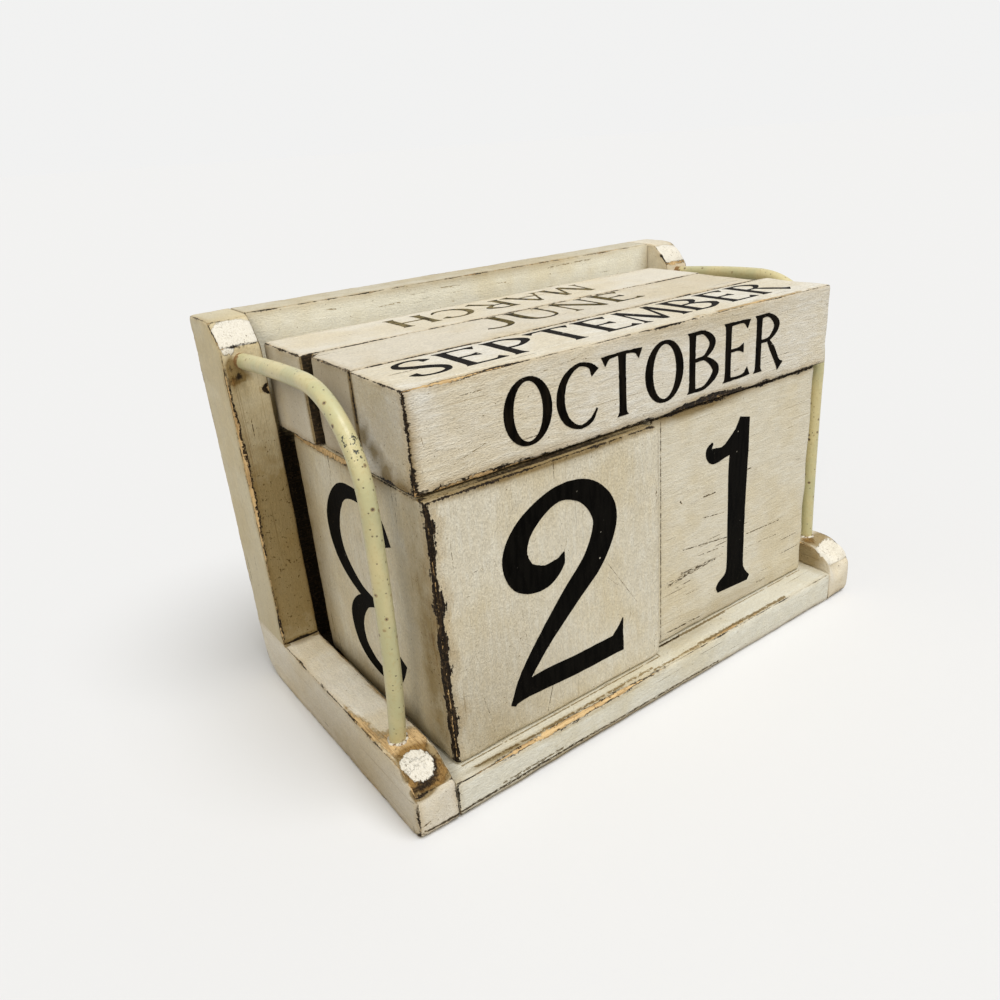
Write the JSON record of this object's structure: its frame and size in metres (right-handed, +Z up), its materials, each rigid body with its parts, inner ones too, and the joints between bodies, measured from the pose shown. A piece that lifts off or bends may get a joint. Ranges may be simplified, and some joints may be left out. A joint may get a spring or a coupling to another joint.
{
  "type": "perpetual desk calendar",
  "caption": "Perpetual desk calendar: loose painted wooden day cubes under long month bars, held in a bench-like tray frame with a high back and a bent steel rod guarding each side.",
  "frame": {"origin": "middle of the footprint, on the surface that the calendar stands on", "axes": "+X to the right of the calendar as it is read, +Y to its back, +Z up"},
  "size_m": [0.146, 0.0826, 0.0962],
  "materials": {
    "frame_paint": "matt cream chalk paint, rubbed through to wood at the edges",
    "cube_paint": "matt cream chalk paint with black painted numerals, edges rubbed brown",
    "bar_paint": "matt cream chalk paint with black painted month names, edges rubbed brown",
    "rod_paint": "glossy cream yellow paint with small rust spots",
    "brad_steel": "bright steel wire"
  },
  "bodies": {
    "frame": {"base_board": "frame_paint", "back_panel": "frame_paint", "left_foot": "frame_paint", "right_foot": "frame_paint", "left_post": "frame_paint", "right_post": "frame_paint", "left_rod": "rod_paint", "right_rod": "rod_paint", "left_base_brad_front": "brad_steel", "left_base_brad_rear": "brad_steel", "left_panel_brad_lower": "brad_steel", "left_panel_brad_upper": "brad_steel", "left_foot_brad": "brad_steel", "right_base_brad_front": "brad_steel", "right_base_brad_rear": "brad_steel", "right_panel_brad_lower": "brad_steel", "right_panel_brad_upper": "brad_steel", "right_foot_brad": "brad_steel"},
    "tens_cube": {"tens_cube": "cube_paint"},
    "units_cube": {"units_cube": "cube_paint"},
    "front_month_bar": {"front_month_bar": "bar_paint"},
    "middle_month_bar": {"middle_month_bar": "bar_paint"},
    "rear_month_bar": {"rear_month_bar": "bar_paint"}
  },
  "joints": [
    {"name": "tens_cube_slide", "type": "slide", "parent": "frame", "child": "tens_cube", "axis": [0, -1, 0], "range_m": [-0.0078, 0.066]},
    {"name": "units_cube_slide", "type": "slide", "parent": "frame", "child": "units_cube", "axis": [0, -1, 0], "range_m": [-0.0047, 0.069]},
    {"name": "front_month_bar_lift", "type": "slide", "parent": "frame", "child": "front_month_bar", "axis": [0, 0, 1], "range_m": [0, 0.04]},
    {"name": "middle_month_bar_lift", "type": "slide", "parent": "frame", "child": "middle_month_bar", "axis": [0, 0, 1], "range_m": [0, 0.04]},
    {"name": "rear_month_bar_lift", "type": "slide", "parent": "frame", "child": "rear_month_bar", "axis": [0, 0, 1], "range_m": [0, 0.04]}
  ]
}
